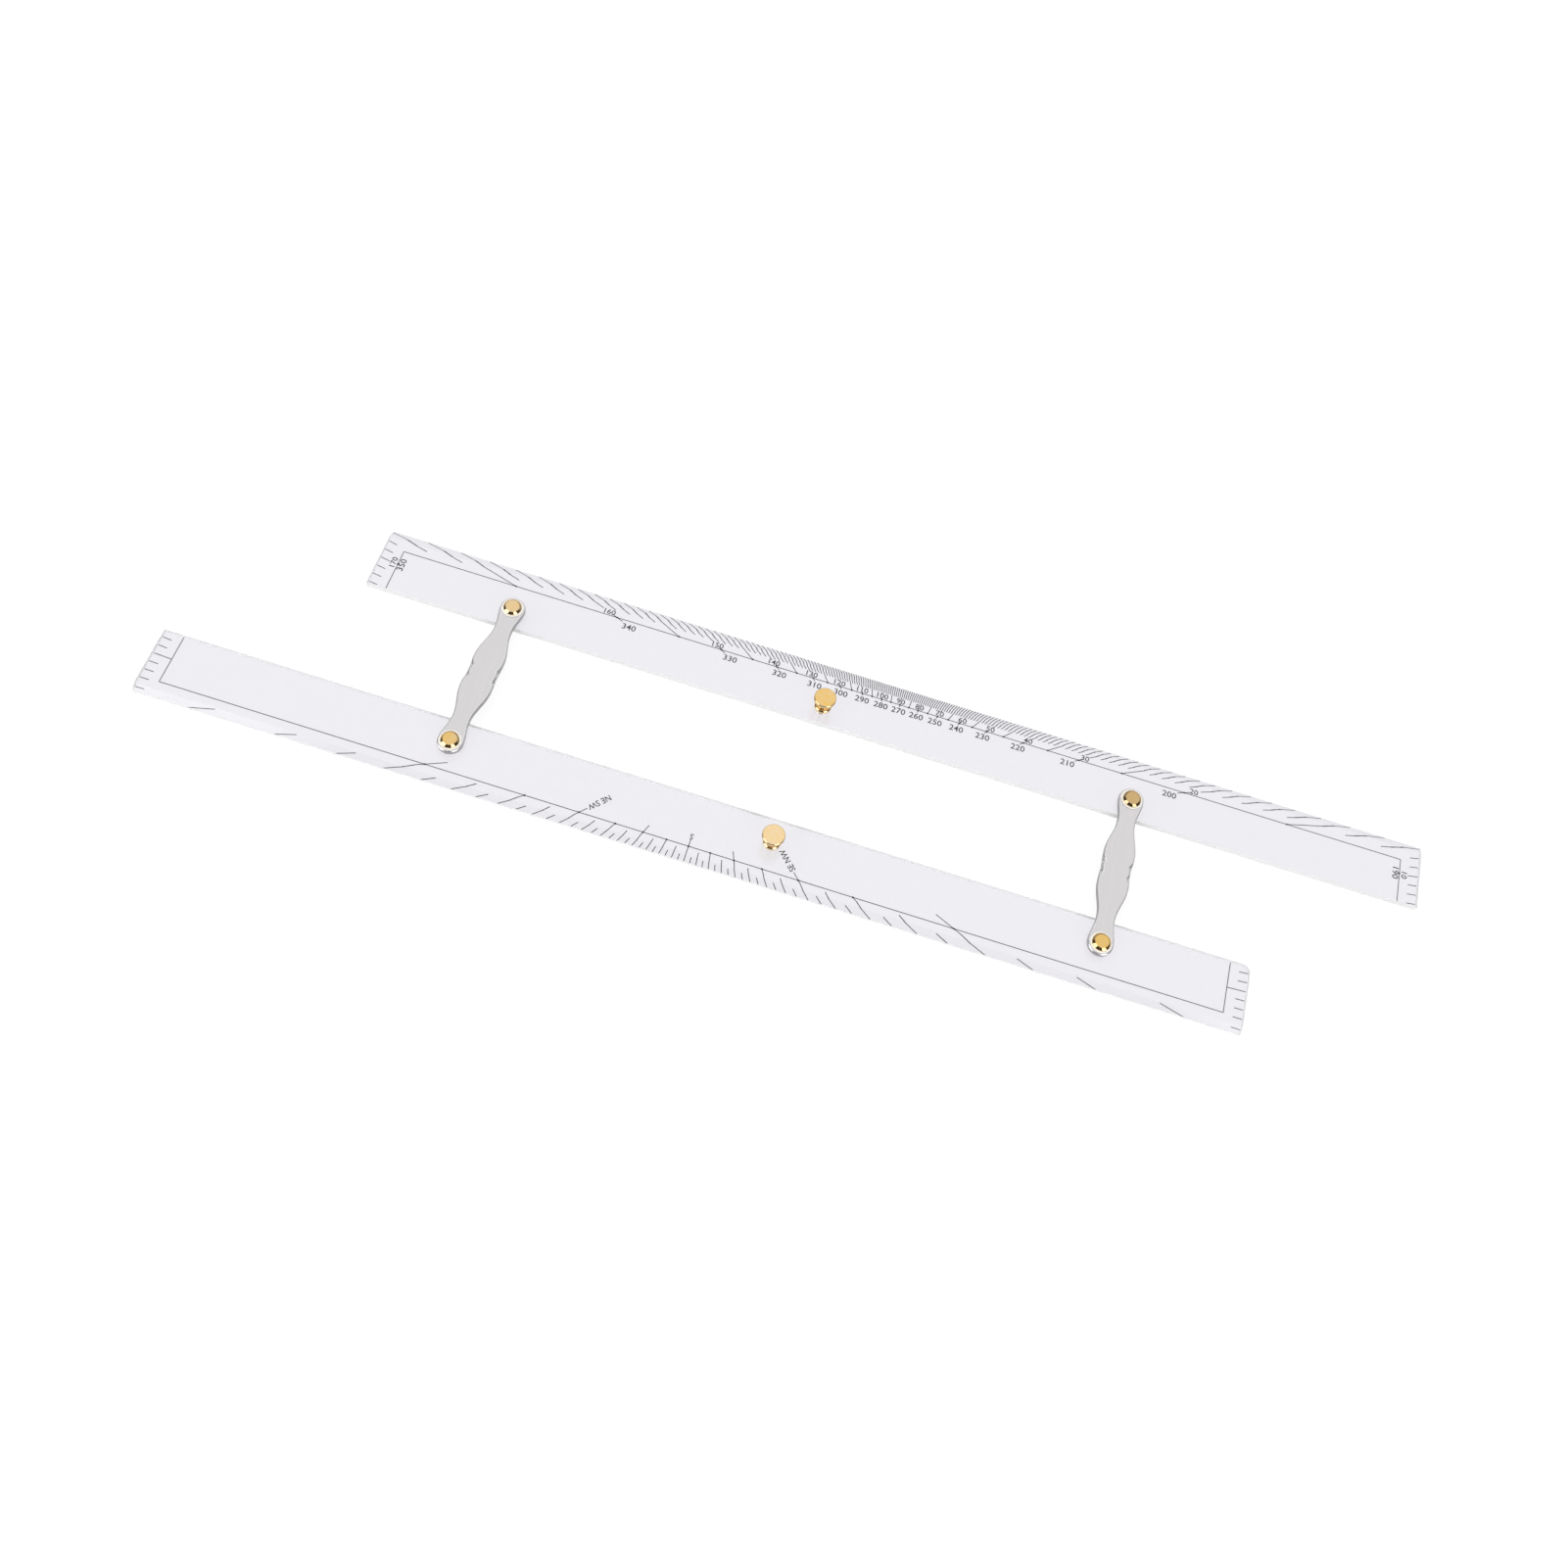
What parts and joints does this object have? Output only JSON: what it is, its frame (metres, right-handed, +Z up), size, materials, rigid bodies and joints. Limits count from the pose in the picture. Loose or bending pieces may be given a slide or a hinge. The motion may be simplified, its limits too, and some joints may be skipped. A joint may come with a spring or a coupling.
{
  "type": "parallel rule",
  "caption": "Navigator's parallel rule: clear bevelled blades joined by swinging metal arms on brass pivots, with small brass knobs for walking it across a chart.",
  "frame": {"origin": "middle of the open rule's bounding box, on the underside that lies on the chart", "axes": "+X along the blades, +Y from the near blade to the far blade, +Z up out of the chart"},
  "size_m": [0.4342, 0.088, 0.0095],
  "materials": {
    "clear_acrylic": "clear cast acrylic sheet, polished",
    "satin_aluminium": "satin face with bright edges",
    "turned_brass": "turned and polished",
    "white_nylon": "natural nylon",
    "scale_ink": "printed black ink"
  },
  "bodies": {
    "far_rule": {"far_blade": "clear_acrylic", "far_left_spacer": "white_nylon", "far_left_washer": "white_nylon", "far_left_stud": "turned_brass", "far_left_screw": "turned_brass", "far_right_spacer": "white_nylon", "far_right_washer": "white_nylon", "far_right_stud": "turned_brass", "far_right_screw": "turned_brass", "far_knob": "turned_brass", "far_knob_screw": "turned_brass"},
    "left_arm": {"left_arm": "satin_aluminium"},
    "right_arm": {"right_arm": "satin_aluminium"},
    "near_rule": {"near_blade": "clear_acrylic", "near_left_spacer": "white_nylon", "near_left_washer": "white_nylon", "near_left_stud": "turned_brass", "near_left_screw": "turned_brass", "near_right_spacer": "white_nylon", "near_right_washer": "white_nylon", "near_right_stud": "turned_brass", "near_right_screw": "turned_brass", "near_knob": "turned_brass", "near_knob_screw": "turned_brass"}
  },
  "joints": [
    {"name": "left_arm_swing", "type": "hinge", "parent": "far_rule", "child": "left_arm", "pos_m": [-0.11167, 0.02634, 0], "axis": [0, 0, 1], "range_deg": [-72.51, 74.91]},
    {"name": "right_arm_swing", "type": "hinge", "parent": "far_rule", "child": "right_arm", "pos_m": [0.11283, 0.02634, 0], "axis": [0, 0, 1], "range_deg": [-72.51, 74.91]},
    {"name": "near_rule_turn", "type": "hinge", "parent": "left_arm", "child": "near_rule", "pos_m": [-0.11283, -0.02894, 0], "axis": [0, 0, 1], "range_deg": [-74.91, 72.51]}
  ],
  "couplings": [
    {"joint": "right_arm_swing", "follows": "left_arm_swing", "ratio": 1},
    {"joint": "near_rule_turn", "follows": "left_arm_swing", "ratio": -1}
  ]
}
